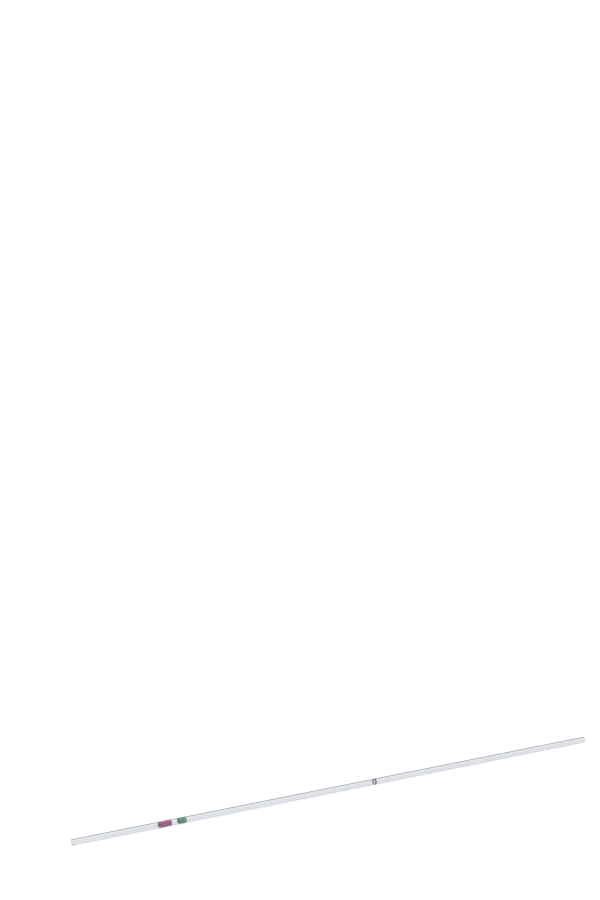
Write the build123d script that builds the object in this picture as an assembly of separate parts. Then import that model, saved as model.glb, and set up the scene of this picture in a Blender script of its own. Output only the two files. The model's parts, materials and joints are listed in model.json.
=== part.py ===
from build123d import *

import os
from math import pi

# A ring-marked glass capillary, which measures one small volume of liquid.
# Drawn glass tubing is cut to length and its ends are fire-polished. Two colour-code bands
# and one volume ring of ceramic enamel are then fired on around the outside.
#
# X runs along the tube, from the colour-coded end at -X, which goes into a holder, to the
# filling end at +X. Z is up. The tube lies on its enamel rings at Z = 0, and the origin is
# under the middle of its length. Lengths are in millimetres.

# The tubing
TUBE_LENGTH = 125.0
BORE_DIAMETER = 1.022
WALL_THICKNESS = 0.12
END_ROUNDING = 0.04  # radius of a fire-polished rim

# The enamel
ENAMEL_THICKNESS = 0.015
VIOLET_BAND_START = 19.3  # from the coded end
VIOLET_BAND_WIDTH = 2.65
BAND_GAP = 1.83  # between the violet band and the green one
GREEN_BAND_WIDTH = 1.55
RING_MARK_WIDTH = 0.3

# The volume that the bore holds from the filling end up to the middle of the ring mark,
# in cubic millimetres
CAPACITY = 44.7

# What follows from those sizes
BORE_RADIUS = BORE_DIAMETER / 2
TUBE_RADIUS = BORE_RADIUS + WALL_THICKNESS
ENAMEL_RADIUS = TUBE_RADIUS + ENAMEL_THICKNESS
AXIS_HEIGHT = ENAMEL_RADIUS
RIM_RADIUS = min(END_ROUNDING, WALL_THICKNESS / 3)

CODED_END = -TUBE_LENGTH / 2
FILLING_END = TUBE_LENGTH / 2
VIOLET_BAND_X = CODED_END + VIOLET_BAND_START
GREEN_BAND_X = VIOLET_BAND_X + VIOLET_BAND_WIDTH + BAND_GAP
FILLED_LENGTH = CAPACITY / (pi * BORE_RADIUS**2)
RING_MARK_X = FILLING_END - FILLED_LENGTH - RING_MARK_WIDTH / 2


def sleeve(start, length, inner_radius, outer_radius):
    """A square-ended sleeve around the tube's axis, from X = start to X = start + length."""
    across = Plane(origin=(start, 0, AXIS_HEIGHT), x_dir=(0, 1, 0), z_dir=(1, 0, 0))
    with BuildPart() as part:
        with BuildSketch(across):
            Circle(outer_radius)
            Circle(inner_radius, mode=Mode.SUBTRACT)
        extrude(amount=length)
    return part.part


def fire_polished_tube():
    """The drawn tube with its through bore, and each end's two rims melted round."""
    cut_tube = sleeve(CODED_END, TUBE_LENGTH, BORE_RADIUS, TUBE_RADIUS)
    return fillet(cut_tube.edges().filter_by(GeomType.CIRCLE), RIM_RADIUS)


def enamel_ring(start, width):
    """A ring of enamel, fired on to the tube's outer wall."""
    return sleeve(start, width, TUBE_RADIUS, ENAMEL_RADIUS)


nodes = {
    "glass_tube": fire_polished_tube(),
    "violet_code_band": enamel_ring(VIOLET_BAND_X, VIOLET_BAND_WIDTH),
    "green_code_band": enamel_ring(GREEN_BAND_X, GREEN_BAND_WIDTH),
    "volume_ring_mark": enamel_ring(RING_MARK_X, RING_MARK_WIDTH),
}

os.makedirs("parts", exist_ok=True)
for name, shape in nodes.items():
    export_step(shape, f"parts/{name}.step")
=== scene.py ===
import json
from math import radians

import bpy
from mathutils import Matrix, Vector


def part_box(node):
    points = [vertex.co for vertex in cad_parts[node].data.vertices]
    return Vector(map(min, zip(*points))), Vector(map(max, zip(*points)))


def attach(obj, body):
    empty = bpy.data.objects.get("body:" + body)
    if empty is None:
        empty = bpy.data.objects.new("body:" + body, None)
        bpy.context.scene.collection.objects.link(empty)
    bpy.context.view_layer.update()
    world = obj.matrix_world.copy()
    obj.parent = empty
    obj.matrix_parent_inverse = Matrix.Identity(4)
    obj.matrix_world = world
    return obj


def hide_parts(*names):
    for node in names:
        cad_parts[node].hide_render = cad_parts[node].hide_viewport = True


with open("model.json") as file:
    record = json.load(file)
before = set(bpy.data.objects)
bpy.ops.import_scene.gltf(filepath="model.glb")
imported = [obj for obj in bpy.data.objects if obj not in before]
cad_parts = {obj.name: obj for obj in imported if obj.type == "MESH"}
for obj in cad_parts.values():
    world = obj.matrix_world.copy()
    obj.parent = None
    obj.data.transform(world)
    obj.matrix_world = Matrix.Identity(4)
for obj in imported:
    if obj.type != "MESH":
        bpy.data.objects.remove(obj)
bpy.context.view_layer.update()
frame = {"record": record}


# ---- The glass tubing ----
# A length of drawn borosilicate tubing, clear and very faintly blue, open right through.
# It was scored, snapped square, and its ends were held in a flame until their rims melted
# round. The radii are those of its bore and its outside, and its axis is the bore's.

MILLIMETRE = 0.001
mounts = {mount["name"]: mount for mount in frame["record"]["mounts"]}
BORE_RADIUS = mounts["bore"]["dims"]["r_mm"] * MILLIMETRE
TUBE_RADIUS = mounts["outside"]["dims"]["r_mm"] * MILLIMETRE
AXIS_HEIGHT = mounts["bore"]["pos_m"][2]
RIM_ROUNDING = 0.04 * MILLIMETRE
RIM_STEPS = 8
TUBE_SIDES = 192

GLASS_COLOUR = (0.95, 0.965, 0.98, 1.0)
GLASS_IOR = 1.473
WIPED_ROUGHNESS = 0.0
HANDLED_ROUGHNESS = 0.05  # where a gloved thumb has left a film
DRAW_LINE_STRENGTH = 0.003


def maths(tree, operation, first, second):
    """A maths node in that tree, fed with numbers or with other nodes' outputs."""
    node = tree.nodes.new("ShaderNodeMath")
    node.operation = operation
    for socket, value in zip(node.inputs, (first, second)):
        if isinstance(value, (int, float)):
            socket.default_value = value
        else:
            tree.links.new(value, socket)
    return node.outputs[0]


def grow_sleeve_tree():
    """Geometry nodes for a round sleeve along X: the outline of its wall, with melted corners,
    is carried around the axis, and its two ends may wander to and fro a little."""
    tree = bpy.data.node_groups.new("sleeve", "GeometryNodeTree")
    inputs = {}
    for name, kind, default in (
        ("Start", "NodeSocketFloat", 0.0),
        ("Length", "NodeSocketFloat", 0.01),
        ("Inner Radius", "NodeSocketFloat", 0.0005),
        ("Outer Radius", "NodeSocketFloat", 0.0006),
        ("Axis Height", "NodeSocketFloat", 0.0),
        ("Rim Rounding", "NodeSocketFloat", 0.00001),
        ("Rim Steps", "NodeSocketInt", 6),
        ("Sides", "NodeSocketInt", 96),
        ("End Wander", "NodeSocketFloat", 0.0),
        ("Wander Seed", "NodeSocketFloat", 0.0),
        ("Material", "NodeSocketMaterial", None),
    ):
        item = tree.interface.new_socket(name, in_out="INPUT", socket_type=kind)
        if default is not None:
            item.default_value = default
        inputs[name] = item.identifier
    tree.interface.new_socket("Geometry", in_out="OUTPUT", socket_type="NodeSocketGeometry")

    nodes, links = tree.nodes, tree.links
    given = nodes.new("NodeGroupInput").outputs

    half_length = maths(tree, "MULTIPLY", given["Length"], 0.5)
    wall = maths(tree, "SUBTRACT", given["Outer Radius"], given["Inner Radius"])
    both_radii = maths(tree, "ADD", given["Outer Radius"], given["Inner Radius"])
    mean_radius = maths(tree, "MULTIPLY", both_radii, 0.5)

    # the wall's outline, with its corners melted round
    outline = nodes.new("GeometryNodeCurvePrimitiveQuadrilateral")
    outline.mode = "RECTANGLE"
    links.new(wall, outline.inputs["Width"])
    links.new(given["Length"], outline.inputs["Height"])
    melted = nodes.new("GeometryNodeFilletCurve")
    melted.mode = "POLY"
    links.new(outline.outputs["Curve"], melted.inputs["Curve"])
    links.new(given["Rim Steps"], melted.inputs["Count"])
    links.new(given["Rim Rounding"], melted.inputs["Radius"])

    # carried around the axis
    round_path = nodes.new("GeometryNodeCurvePrimitiveCircle")
    round_path.mode = "RADIUS"
    links.new(given["Sides"], round_path.inputs["Resolution"])
    links.new(mean_radius, round_path.inputs["Radius"])
    swept = nodes.new("GeometryNodeCurveToMesh")
    links.new(round_path.outputs["Curve"], swept.inputs["Curve"])
    links.new(melted.outputs["Curve"], swept.inputs["Profile Curve"])
    smooth = nodes.new("GeometryNodeSetShadeSmooth")
    links.new(swept.outputs["Mesh"], smooth.inputs["Geometry"])

    # each end wanders along the axis, most at the end itself and not at all in the middle
    place = nodes.new("GeometryNodeInputPosition").outputs["Position"]
    around_and_along = nodes.new("ShaderNodeSeparateXYZ")
    links.new(place, around_and_along.inputs[0])
    end_share = maths(tree, "DIVIDE", around_and_along.outputs["Z"], half_length)
    noise_place = nodes.new("ShaderNodeCombineXYZ")
    for axis in "XY":
        links.new(maths(tree, "DIVIDE", around_and_along.outputs[axis], mean_radius), noise_place.inputs[axis])
    links.new(maths(tree, "MULTIPLY", end_share, 3.0), noise_place.inputs["Z"])
    waver = nodes.new("ShaderNodeTexNoise")
    waver.noise_dimensions = "4D"
    waver.inputs["Scale"].default_value = 1.4
    waver.inputs["Detail"].default_value = 3.0
    links.new(noise_place.outputs[0], waver.inputs["Vector"])
    links.new(given["Wander Seed"], waver.inputs["W"])
    centred = maths(tree, "MULTIPLY", maths(tree, "SUBTRACT", waver.outputs[0], 0.5), end_share)
    drift = nodes.new("ShaderNodeCombineXYZ")
    links.new(maths(tree, "MULTIPLY", centred, given["End Wander"]), drift.inputs["Z"])
    wandered = nodes.new("GeometryNodeSetPosition")
    links.new(smooth.outputs["Geometry"], wandered.inputs["Geometry"])
    links.new(drift.outputs[0], wandered.inputs["Offset"])

    # turned along X and put on the tube's axis
    middle = nodes.new("ShaderNodeCombineXYZ")
    links.new(maths(tree, "ADD", given["Start"], half_length), middle.inputs["X"])
    links.new(given["Axis Height"], middle.inputs["Z"])
    seated = nodes.new("GeometryNodeTransform")
    seated.inputs["Rotation"].default_value = (0.0, radians(90), 0.0)
    links.new(wandered.outputs["Geometry"], seated.inputs["Geometry"])
    links.new(middle.outputs[0], seated.inputs["Translation"])

    realized = nodes.new("GeometryNodeRealizeInstances")
    links.new(seated.outputs["Geometry"], realized.inputs["Geometry"])
    finished = nodes.new("GeometryNodeSetMaterial")
    links.new(realized.outputs["Geometry"], finished.inputs["Geometry"])
    links.new(given["Material"], finished.inputs["Material"])
    out = nodes.new("NodeGroupOutput")
    links.new(finished.outputs["Geometry"], out.inputs["Geometry"])
    return tree, inputs


sleeve_tree, sleeve_inputs = grow_sleeve_tree()


def form_sleeve(name, sizes):
    """Runs the sleeve's nodes with these sizes, and returns the piece as a plain mesh."""
    blank = bpy.data.objects.new(name + "_blank", bpy.data.meshes.new(name + "_blank"))
    bpy.context.scene.collection.objects.link(blank)
    sleeve = blank.modifiers.new("sleeve", "NODES")
    sleeve.node_group = sleeve_tree
    for label, value in sizes.items():
        sleeve[sleeve_inputs[label]] = value
    true_walls = blank.modifiers.new("true walls", "WEIGHTED_NORMAL")
    true_walls.mode = "FACE_AREA"
    true_walls.weight = 100
    bpy.context.view_layer.update()
    shaped = blank.evaluated_get(bpy.context.evaluated_depsgraph_get())
    piece = bpy.data.objects.new(name, bpy.data.meshes.new_from_object(shaped))
    bpy.data.objects.remove(blank)
    bpy.context.scene.collection.objects.link(piece)
    return piece


def borosilicate_glass():
    """Clear drawn glass, with faint lines along the draw and a thin film where it was handled."""
    material = bpy.data.materials.new("borosilicate_glass")
    material.use_nodes = True
    nodes, links = material.node_tree.nodes, material.node_tree.links
    surface = nodes["Principled BSDF"]
    surface.inputs["Base Color"].default_value = GLASS_COLOUR
    surface.inputs["Transmission Weight"].default_value = 1.0
    surface.inputs["IOR"].default_value = GLASS_IOR

    place = nodes.new("ShaderNodeTexCoord").outputs["Object"]
    film_place = nodes.new("ShaderNodeMapping")
    film_place.inputs["Scale"].default_value = (120.0, 900.0, 900.0)
    links.new(place, film_place.inputs["Vector"])
    film = nodes.new("ShaderNodeTexNoise")
    film.inputs["Scale"].default_value = 1.0
    film.inputs["Detail"].default_value = 4.0
    links.new(film_place.outputs["Vector"], film.inputs["Vector"])
    film_reach = nodes.new("ShaderNodeMapRange")
    film_reach.inputs["From Min"].default_value = 0.56
    film_reach.inputs["From Max"].default_value = 0.78
    film_reach.inputs["To Min"].default_value = WIPED_ROUGHNESS
    film_reach.inputs["To Max"].default_value = HANDLED_ROUGHNESS
    links.new(film.outputs["Fac"], film_reach.inputs["Value"])
    links.new(film_reach.outputs["Result"], surface.inputs["Roughness"])

    line_place = nodes.new("ShaderNodeMapping")
    line_place.inputs["Scale"].default_value = (25.0, 6000.0, 6000.0)
    links.new(place, line_place.inputs["Vector"])
    draw_lines = nodes.new("ShaderNodeTexNoise")
    draw_lines.inputs["Scale"].default_value = 1.0
    draw_lines.inputs["Detail"].default_value = 2.0
    links.new(line_place.outputs["Vector"], draw_lines.inputs["Vector"])
    relief = nodes.new("ShaderNodeBump")
    relief.inputs["Strength"].default_value = DRAW_LINE_STRENGTH
    relief.inputs["Distance"].default_value = 0.01 * MILLIMETRE
    links.new(draw_lines.outputs["Fac"], relief.inputs["Height"])
    links.new(relief.outputs["Normal"], surface.inputs["Normal"])
    return material


coded_end, filling_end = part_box("glass_tube")
glass_tube = form_sleeve(
    "drawn_glass_tube",
    {
        "Start": coded_end.x,
        "Length": filling_end.x - coded_end.x,
        "Inner Radius": BORE_RADIUS,
        "Outer Radius": TUBE_RADIUS,
        "Axis Height": AXIS_HEIGHT,
        "Rim Rounding": RIM_ROUNDING,
        "Rim Steps": RIM_STEPS,
        "Sides": TUBE_SIDES,
        "Material": borosilicate_glass(),
    },
)
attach(glass_tube, "root")
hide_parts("glass_tube")


# ---- The violet code band ----
# The wider of the two colour-code bands. A paste of ceramic colour was rolled around the tube
# and fired on, so it has melted into the glass: glossy, a little uneven, thin at its ends.

ENAMEL_BITE = 0.002 * MILLIMETRE  # how far the fired enamel has melted into the glass
ENAMEL_ROUNDING = 0.006 * MILLIMETRE
ENAMEL_SIDES = 160
ENAMEL_DEPTH_SHARE = 0.9  # light that soaks into the enamel instead of leaving at its face
ENAMEL_LIGHT_REACH = 0.04 * MILLIMETRE
# inside this radius the enamel takes its painted lighter colour, painted light for light through the enamel
GLASS_FACE_RADIUS = TUBE_RADIUS + 0.004 * MILLIMETRE  # the face against the glass is within it
ENAMEL_RIM_STEPS = 4
BAND_WANDER = 0.12 * MILLIMETRE
VIOLET = (0.40, 0.088, 0.275, 1.0)
THIN_VIOLET = (0.33, 0.135, 0.235, 1.0)
# painted light: the violet's face against the glass is painted much paler, for light shining through the enamel
# into the bore
VIOLET_GLASS_SIDE_PAINTED_LIGHT = (0.88, 0.55, 0.80, 1.0)


def fired_enamel_group():
    """Shader nodes for fired ceramic colour: cloudy where the paste lay thick or thin, with fine pinholes,
    thinner towards one end of the band, and painted lighter on its face against the glass, a painted light for
    light through the enamel."""
    group = bpy.data.node_groups.new("fired_enamel", "ShaderNodeTree")
    for name, kind, default in (
        ("Colour", "NodeSocketColor", (0.5, 0.5, 0.5, 1.0)),
        ("Thin Colour", "NodeSocketColor", (0.5, 0.5, 0.5, 1.0)),
        ("Glass Side Painted Light", "NodeSocketColor", (0.5, 0.5, 0.5, 1.0)),
        ("Band Middle", "NodeSocketVector", (0.0, 0.0, 0.0)),
        ("Band Width", "NodeSocketFloat", 0.002),
        ("Cloudiness", "NodeSocketFloat", 0.3),
        ("Thin End", "NodeSocketFloat", 0.3),
        ("Roughness", "NodeSocketFloat", 0.25),
    ):
        item = group.interface.new_socket(name, in_out="INPUT", socket_type=kind)
        item.default_value = default
    for name, kind in (
        ("Colour", "NodeSocketColor"),
        ("Roughness", "NodeSocketFloat"),
        ("Height", "NodeSocketFloat"),
    ):
        group.interface.new_socket(name, in_out="OUTPUT", socket_type=kind)

    nodes, links = group.nodes, group.links
    given = nodes.new("NodeGroupInput").outputs
    result = nodes.new("NodeGroupOutput").inputs

    def specks(scale, detail):
        noise = nodes.new("ShaderNodeTexNoise")
        noise.inputs["Scale"].default_value = scale
        noise.inputs["Detail"].default_value = detail
        links.new(on_band.outputs["Vector"], noise.inputs["Vector"])
        return noise.outputs["Fac"]

    on_band = nodes.new("ShaderNodeVectorMath")
    on_band.operation = "SUBTRACT"
    links.new(nodes.new("ShaderNodeTexCoord").outputs["Object"], on_band.inputs[0])
    links.new(given["Band Middle"], on_band.inputs[1])
    along = nodes.new("ShaderNodeSeparateXYZ")
    links.new(on_band.outputs["Vector"], along.inputs[0])
    end_share = maths(group, "DIVIDE", along.outputs["X"], given["Band Width"])

    cloud = nodes.new("ShaderNodeMapRange")
    cloud.inputs["From Min"].default_value = 0.35
    cloud.inputs["From Max"].default_value = 0.68
    links.new(specks(2600.0, 4.0), cloud.inputs["Value"])
    clouded = maths(group, "MULTIPLY", cloud.outputs["Result"], given["Cloudiness"])
    to_the_end = maths(group, "MULTIPLY", maths(group, "ADD", end_share, 0.3), given["Thin End"])
    thinness = maths(group, "ADD", clouded, maths(group, "MAXIMUM", to_the_end, 0.0))

    tone = nodes.new("ShaderNodeMix")
    tone.data_type = "RGBA"
    links.new(maths(group, "MINIMUM", thinness, 1.0), tone.inputs["Factor"])
    links.new(given["Colour"], tone.inputs["A"])
    links.new(given["Thin Colour"], tone.inputs["B"])

    across = nodes.new("ShaderNodeVectorMath")
    across.operation = "MULTIPLY"
    across.inputs[1].default_value = (0.0, 1.0, 1.0)
    links.new(on_band.outputs["Vector"], across.inputs[0])
    radius = nodes.new("ShaderNodeVectorMath")
    radius.operation = "LENGTH"
    links.new(across.outputs["Vector"], radius.inputs[0])
    # painted light: the face against the glass is painted paler, standing in for light shining through the thin
    # enamel into the bore
    painted_light_inside = nodes.new("ShaderNodeMix")
    painted_light_inside.data_type = "RGBA"
    links.new(maths(group, "LESS_THAN", radius.outputs["Value"], GLASS_FACE_RADIUS), painted_light_inside.inputs["Factor"])
    links.new(tone.outputs["Result"], painted_light_inside.inputs["A"])
    links.new(given["Glass Side Painted Light"], painted_light_inside.inputs["B"])
    links.new(painted_light_inside.outputs["Result"], result["Colour"])

    pinholes = specks(14000.0, 2.0)
    grain = maths(group, "MULTIPLY", maths(group, "SUBTRACT", pinholes, 0.5), 0.35)
    links.new(maths(group, "ADD", given["Roughness"], grain), result["Roughness"])
    links.new(maths(group, "ADD", pinholes, cloud.outputs["Result"]), result["Height"])
    return group


fired_enamel = fired_enamel_group()


def enamel(name, node, colours, cloudiness, thin_end, roughness):
    """A ceramic colour fired on to the glass, for the band at that CAD node. Its colours are
    those of a thick coat, of a thin coat, and a painted lighter colour, painted light, for the face against the
    glass."""
    low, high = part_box(node)
    material = bpy.data.materials.new(name)
    material.use_nodes = True
    nodes, links = material.node_tree.nodes, material.node_tree.links
    surface = nodes["Principled BSDF"]
    surface.inputs["IOR"].default_value = 1.52
    surface.inputs["Subsurface Weight"].default_value = ENAMEL_DEPTH_SHARE
    surface.inputs["Subsurface Radius"].default_value = (1.0, 1.0, 1.0)
    surface.inputs["Subsurface Scale"].default_value = ENAMEL_LIGHT_REACH
    surface.inputs["Coat Weight"].default_value = 0.25
    surface.inputs["Coat Roughness"].default_value = 0.12
    fired = nodes.new("ShaderNodeGroup")
    fired.node_tree = fired_enamel
    # the third colour is painted light on the face against the glass, not the enamel's own colour
    for socket, colour in zip(("Colour", "Thin Colour", "Glass Side Painted Light"), colours):
        fired.inputs[socket].default_value = colour
    fired.inputs["Band Middle"].default_value = (low + high) / 2
    fired.inputs["Band Width"].default_value = high.x - low.x
    fired.inputs["Cloudiness"].default_value = cloudiness
    fired.inputs["Thin End"].default_value = thin_end
    fired.inputs["Roughness"].default_value = roughness
    relief = nodes.new("ShaderNodeBump")
    relief.inputs["Strength"].default_value = 0.35
    relief.inputs["Distance"].default_value = 0.004 * MILLIMETRE
    links.new(fired.outputs["Colour"], surface.inputs["Base Color"])
    links.new(fired.outputs["Roughness"], surface.inputs["Roughness"])
    links.new(fired.outputs["Height"], relief.inputs["Height"])
    links.new(relief.outputs["Normal"], surface.inputs["Normal"])
    return material


def fire_on_band(name, node, material, wander, seed):
    """A ring of enamel where that CAD node is, melted a little into the glass."""
    low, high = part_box(node)
    band = form_sleeve(
        name,
        {
            "Start": low.x,
            "Length": high.x - low.x,
            "Inner Radius": TUBE_RADIUS - ENAMEL_BITE,
            "Outer Radius": AXIS_HEIGHT,
            "Axis Height": AXIS_HEIGHT,
            "Rim Rounding": ENAMEL_ROUNDING,
            "Rim Steps": ENAMEL_RIM_STEPS,
            "Sides": ENAMEL_SIDES,
            "End Wander": wander,
            "Wander Seed": seed,
            "Material": material,
        },
    )
    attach(band, "root")
    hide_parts(node)


violet_coat_and_painted_light = (VIOLET, THIN_VIOLET, VIOLET_GLASS_SIDE_PAINTED_LIGHT)
violet_enamel = enamel("violet_enamel", "violet_code_band", violet_coat_and_painted_light, 0.45, 0.7, 0.3)
fire_on_band("violet_enamel_band", "violet_code_band", violet_enamel, BAND_WANDER, 3.0)


# ---- The green code band ----
# The narrower band of the pair. Its ceramic green was rolled on in the same pass and is a
# little thinner, so its clouds show more.

GREEN = (0.11, 0.275, 0.215, 1.0)
THIN_GREEN = (0.20, 0.39, 0.32, 1.0)
# painted light: the green's face against the glass is painted much paler, for light shining through the enamel
# into the bore
GREEN_GLASS_SIDE_PAINTED_LIGHT = (0.42, 0.70, 0.60, 1.0)

green_coat_and_painted_light = (GREEN, THIN_GREEN, GREEN_GLASS_SIDE_PAINTED_LIGHT)
green_enamel = enamel("green_enamel", "green_code_band", green_coat_and_painted_light, 0.6, 0.4, 0.3)
fire_on_band("green_enamel_band", "green_code_band", green_enamel, BAND_WANDER, 11.0)


# ---- The volume ring mark ----
# One thin black line of enamel around the tube. From the filling end up to it, the bore
# holds the tube's volume, so it was laid on with a fine wheel and its edges are cleaner.

RING_WANDER = 0.025 * MILLIMETRE
BLACK = (0.022, 0.021, 0.025, 1.0)
THIN_BLACK = (0.055, 0.053, 0.057, 1.0)
# painted light: the black ring's face against the glass is painted grey, for light shining through the enamel
# into the bore
BLACK_GLASS_SIDE_PAINTED_LIGHT = (0.20, 0.20, 0.21, 1.0)

black_coat_and_painted_light = (BLACK, THIN_BLACK, BLACK_GLASS_SIDE_PAINTED_LIGHT)
black_enamel = enamel("black_enamel", "volume_ring_mark", black_coat_and_painted_light, 0.4, 0.0, 0.32)
fire_on_band("black_enamel_ring", "volume_ring_mark", black_enamel, RING_WANDER, 7.0)


# ---- The table ----
# A wide matt white table top. It takes the tube's own soft shadow, and to the eye, and
# in and through the glass, it is as white as a lit sweep of paper.

TABLE_REACH = 2.5
TABLE_SIDES = 96
TABLE_WHITE = (0.8, 0.8, 0.8, 1.0)
LOOKED_AT = 1.12  # the paper to the eye, which with its own shade makes just white
SEEN_IN_GLASS = (0.89, 0.895, 0.925, 1.0)  # and in or through glass, a little shaded and cool
SHADOW_SHARE = 0.25  # how much of the paper's own light and shade is kept


def lit_paper(name):
    """Matt white that takes shadows and is lifted to white where it is looked at."""
    material = bpy.data.materials.new(name)
    material.use_nodes = True
    nodes, links = material.node_tree.nodes, material.node_tree.links
    paper = nodes["Principled BSDF"]
    paper.inputs["Base Color"].default_value = TABLE_WHITE
    paper.inputs["Roughness"].default_value = 0.9
    paper.inputs["Specular IOR Level"].default_value = 0.1
    tree = material.node_tree
    light_path = nodes.new("ShaderNodeLightPath").outputs

    in_glass = maths(tree, "MAXIMUM", light_path["Is Glossy Ray"], light_path["Is Transmission Ray"])
    own_light = nodes.new("ShaderNodeMix")
    own_light.data_type = "RGBA"
    own_light.inputs["A"].default_value = (LOOKED_AT, LOOKED_AT, LOOKED_AT, 1.0)
    own_light.inputs["B"].default_value = SEEN_IN_GLASS
    links.new(in_glass, own_light.inputs["Factor"])
    glow = nodes.new("ShaderNodeEmission")
    links.new(own_light.outputs["Result"], glow.inputs["Color"])

    seen = maths(tree, "MAXIMUM", light_path["Is Camera Ray"], in_glass)
    blend = nodes.new("ShaderNodeMixShader")
    links.new(maths(tree, "MULTIPLY", seen, 1.0 - SHADOW_SHARE), blend.inputs[0])
    links.new(paper.outputs[0], blend.inputs[1])
    links.new(glow.outputs[0], blend.inputs[2])
    links.new(blend.outputs[0], nodes["Material Output"].inputs["Surface"])
    return material


def lay_table():
    """A flat disc at the height where the tube lies."""
    mesh = bpy.data.meshes.new("table")
    rim = [Matrix.Rotation(radians(360 * side / TABLE_SIDES), 3, "Z") @ Vector((TABLE_REACH, 0, 0))
           for side in range(TABLE_SIDES)]
    mesh.from_pydata(rim, [], [list(range(TABLE_SIDES))])
    mesh.materials.append(lit_paper("white_paper"))
    table = bpy.data.objects.new("table", mesh)
    bpy.context.scene.collection.objects.link(table)


lay_table()


# ---- The studio ----
# An even white room does most of the lighting, with one large soft box overhead and a
# smaller one beside the lens. The glass also sees the darker wall behind the sweep.

ROOM_LEVEL = 0.75
ROOM_BY_HEIGHT = (  # sine of the height above the horizon, and how bright the wall is there
    (0.0, 0.60),
    (0.03, 0.25),
    (0.08, 0.08),
    (0.44, 0.10),
    (0.62, 0.35),
    (0.80, 0.95),
)


def light_room():
    """White where it is looked at, plain for matt things, and a studio wall for glass."""
    world = bpy.data.worlds.new("studio")
    bpy.context.scene.world = world
    world.use_nodes = True
    nodes, links = world.node_tree.nodes, world.node_tree.links
    nodes.clear()
    light_path = nodes.new("ShaderNodeLightPath").outputs

    def background(strength):
        node = nodes.new("ShaderNodeBackground")
        node.inputs["Strength"].default_value = strength
        return node

    def chosen(factor, otherwise, wanted):
        node = nodes.new("ShaderNodeMixShader")
        links.new(factor, node.inputs[0])
        links.new(otherwise, node.inputs[1])
        links.new(wanted, node.inputs[2])
        return node.outputs[0]

    matt = background(ROOM_LEVEL)
    seen = background(1.0)
    for node in (matt, seen):
        node.inputs["Color"].default_value = (1.0, 1.0, 1.0, 1.0)

    direction = nodes.new("ShaderNodeTexCoord").outputs["Generated"]
    height = nodes.new("ShaderNodeSeparateXYZ")
    links.new(direction, height.inputs[0])
    wall = nodes.new("ShaderNodeValToRGB")
    wall.color_ramp.interpolation = "EASE"
    stops = wall.color_ramp.elements
    while len(stops) < len(ROOM_BY_HEIGHT):
        stops.new(0.5)
    for stop, (position, level) in zip(stops, ROOM_BY_HEIGHT):
        stop.position = position
        stop.color = (level, level, level, 1.0)
    links.new(height.outputs["Z"], wall.inputs["Fac"])
    mirrored = background(1.0)
    links.new(wall.outputs["Color"], mirrored.inputs["Color"])

    # what the eye sees in and through glass, and not light that goes on to a matt surface
    in_glass = maths(world.node_tree, "MAXIMUM", light_path["Is Glossy Ray"], light_path["Is Transmission Ray"])
    straight = maths(world.node_tree, "LESS_THAN", light_path["Diffuse Depth"], 0.5)
    eye_in_glass = maths(world.node_tree, "MULTIPLY", in_glass, straight)
    lit = chosen(eye_in_glass, matt.outputs[0], mirrored.outputs[0])
    whole = chosen(light_path["Is Camera Ray"], lit, seen.outputs[0])
    links.new(whole, nodes.new("ShaderNodeOutputWorld").inputs["Surface"])


def hang_soft_box(name, at, size, power):
    """A square soft box, aimed at the tube."""
    lamp = bpy.data.lights.new(name, "AREA")
    lamp.size = size
    lamp.energy = power
    box = bpy.data.objects.new(name, lamp)
    box.location = at
    box.rotation_euler = (-Vector(at)).to_track_quat("-Z", "Y").to_euler()
    box.visible_camera = False
    bpy.context.scene.collection.objects.link(box)


light_room()
hang_soft_box("overhead_box", (-0.4, 0.3, 2.6), 1.6, 22.0)
hang_soft_box("lens_box", (-1.7, -0.9, 1.6), 0.8, 8.0)
bpy.context.scene.view_settings.view_transform = "Standard"


# ---- The camera ----
# A long lens low over the table, on the coded end's side, with the tube lying across the
# bottom of its tall picture.

CAMERA_PLACE = Vector((-0.3076, -0.4824, 0.190 + AXIS_HEIGHT))
CAMERA_AIM = Vector((0.51424, 0.83331, -0.20304))
CAMERA_ROLL = -0.0032
LENS_LENGTH = 115.92
SENSOR = 36.0

camera = bpy.data.objects.new("camera", bpy.data.cameras.new("camera"))
camera.data.lens = LENS_LENGTH
camera.data.sensor_width = SENSOR
camera.data.clip_start = 0.01
level_view = CAMERA_AIM.to_track_quat("-Z", "Y").to_matrix().to_4x4()
camera.matrix_world = Matrix.Translation(CAMERA_PLACE) @ level_view @ Matrix.Rotation(CAMERA_ROLL, 4, "Z")
bpy.context.scene.collection.objects.link(camera)
bpy.context.scene.camera = camera
